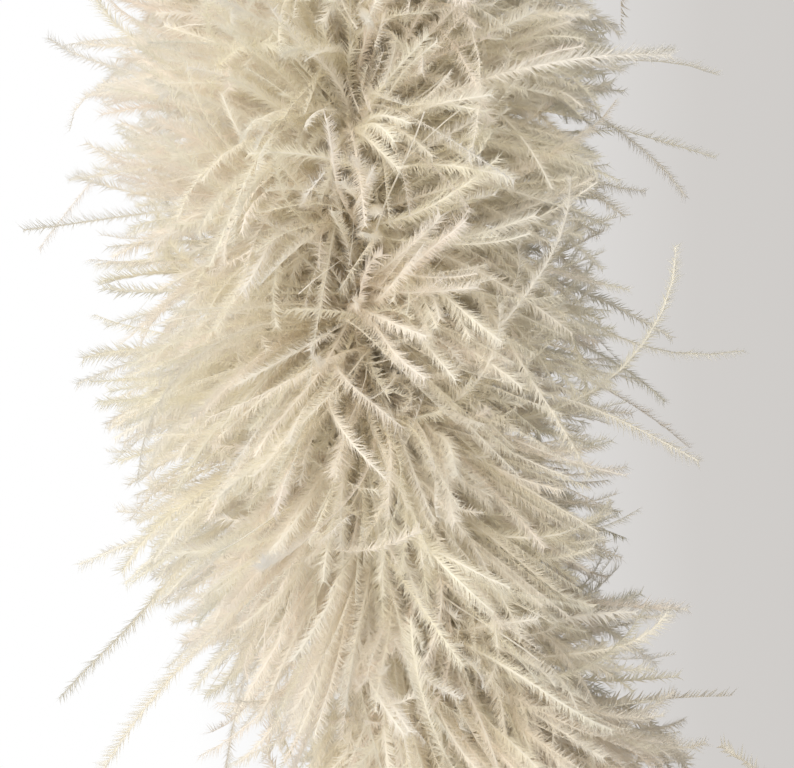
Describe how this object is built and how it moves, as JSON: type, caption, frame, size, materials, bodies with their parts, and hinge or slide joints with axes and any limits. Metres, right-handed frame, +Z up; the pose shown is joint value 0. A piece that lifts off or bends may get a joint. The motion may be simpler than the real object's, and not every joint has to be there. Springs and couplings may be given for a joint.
{
  "type": "feather boa",
  "caption": "long soft ostrich-feather boa draped in an inverted U, with a corded core, bound quill strips, thread whippings and a thick plume of curling barbs on hinged stretches",
  "frame": {"origin": "underside of the plume at the top of the loop, where it rests on the neck or the form that holds it up", "axes": "+Z up, +X along the loop from the left leg to the right leg as seen from the front, +Y away from the viewer; the front faces -Y"},
  "size_m": [0.652, 0.22, 0.977],
  "materials": {
    "plume": "soft matt cream ostrich barbs with a faint sheen",
    "core_cord": "matt twisted cotton cord",
    "quill": "smooth horny pared quill, slightly glossy",
    "thread": "waxed binding thread, tight parallel turns"
  },
  "bodies": {
    "neck": {"neck_core": "core_cord", "neck_left_quill_a": "quill", "neck_left_quill_b": "quill", "neck_left_whipping": "thread", "neck_middle_whipping": "thread", "neck_plume_left": "plume", "neck_plume_right": "plume", "neck_plume_top_left": "plume", "neck_plume_top_right": "plume", "neck_right_quill_a": "quill", "neck_right_quill_b": "quill", "neck_right_whipping": "thread"},
    "left_1": {"left_1_core": "core_cord", "left_1_plume": "plume", "left_1_quill_a": "quill", "left_1_quill_b": "quill", "left_1_whipping": "thread"},
    "left_2": {"left_2_core": "core_cord", "left_2_plume": "plume", "left_2_quill_a": "quill", "left_2_quill_b": "quill", "left_2_whipping": "thread"},
    "left_3": {"left_3_core": "core_cord", "left_3_plume": "plume", "left_3_quill_a": "quill", "left_3_quill_b": "quill", "left_3_whipping": "thread"},
    "left_4": {"left_4_core": "core_cord", "left_4_plume": "plume", "left_4_quill_a": "quill", "left_4_quill_b": "quill", "left_4_whipping": "thread", "left_end_whipping": "thread"},
    "right_1": {"right_1_core": "core_cord", "right_1_plume": "plume", "right_1_quill_a": "quill", "right_1_quill_b": "quill", "right_1_whipping": "thread"},
    "right_2": {"right_2_core": "core_cord", "right_2_plume": "plume", "right_2_quill_a": "quill", "right_2_quill_b": "quill", "right_2_whipping": "thread"},
    "right_3": {"right_3_core": "core_cord", "right_3_plume": "plume", "right_3_quill_a": "quill", "right_3_quill_b": "quill", "right_3_whipping": "thread"},
    "right_4": {"right_4_core": "core_cord", "right_4_plume": "plume", "right_4_quill_a": "quill", "right_4_quill_b": "quill", "right_4_whipping": "thread", "right_end_whipping": "thread"}
  },
  "joints": [
    {"name": "left_bend_1", "type": "hinge", "parent": "neck", "child": "left_1", "pos_m": [-0.175, 0, -0.105], "axis": [1, 0, 0], "range_deg": [-30, 30]},
    {"name": "left_bend_2", "type": "hinge", "parent": "left_1", "child": "left_2", "pos_m": [-0.175, 0, -0.251], "axis": [0, -1, 0], "range_deg": [-30, 12]},
    {"name": "left_bend_3", "type": "hinge", "parent": "left_2", "child": "left_3", "pos_m": [-0.16619, 0, -0.397], "axis": [0.9617, 0, 0.274], "range_deg": [-30, 30]},
    {"name": "left_bend_4", "type": "hinge", "parent": "left_3", "child": "left_4", "pos_m": [-0.10819, 0, -0.543], "axis": [0, -1, 0], "range_deg": [-30, 30]},
    {"name": "right_bend_1", "type": "hinge", "parent": "neck", "child": "right_1", "pos_m": [0.175, 0, -0.105], "axis": [1, 0, 0], "range_deg": [-30, 30]},
    {"name": "right_bend_2", "type": "hinge", "parent": "right_1", "child": "right_2", "pos_m": [0.175, 0, -0.251], "axis": [0, -1, 0], "range_deg": [-12, 30]},
    {"name": "right_bend_3", "type": "hinge", "parent": "right_2", "child": "right_3", "pos_m": [0.18381, 0, -0.397], "axis": [0.9617, 0, 0.274], "range_deg": [-30, 30]},
    {"name": "right_bend_4", "type": "hinge", "parent": "right_3", "child": "right_4", "pos_m": [0.24181, 0, -0.543], "axis": [0, -1, 0], "range_deg": [-30, 30]}
  ]
}
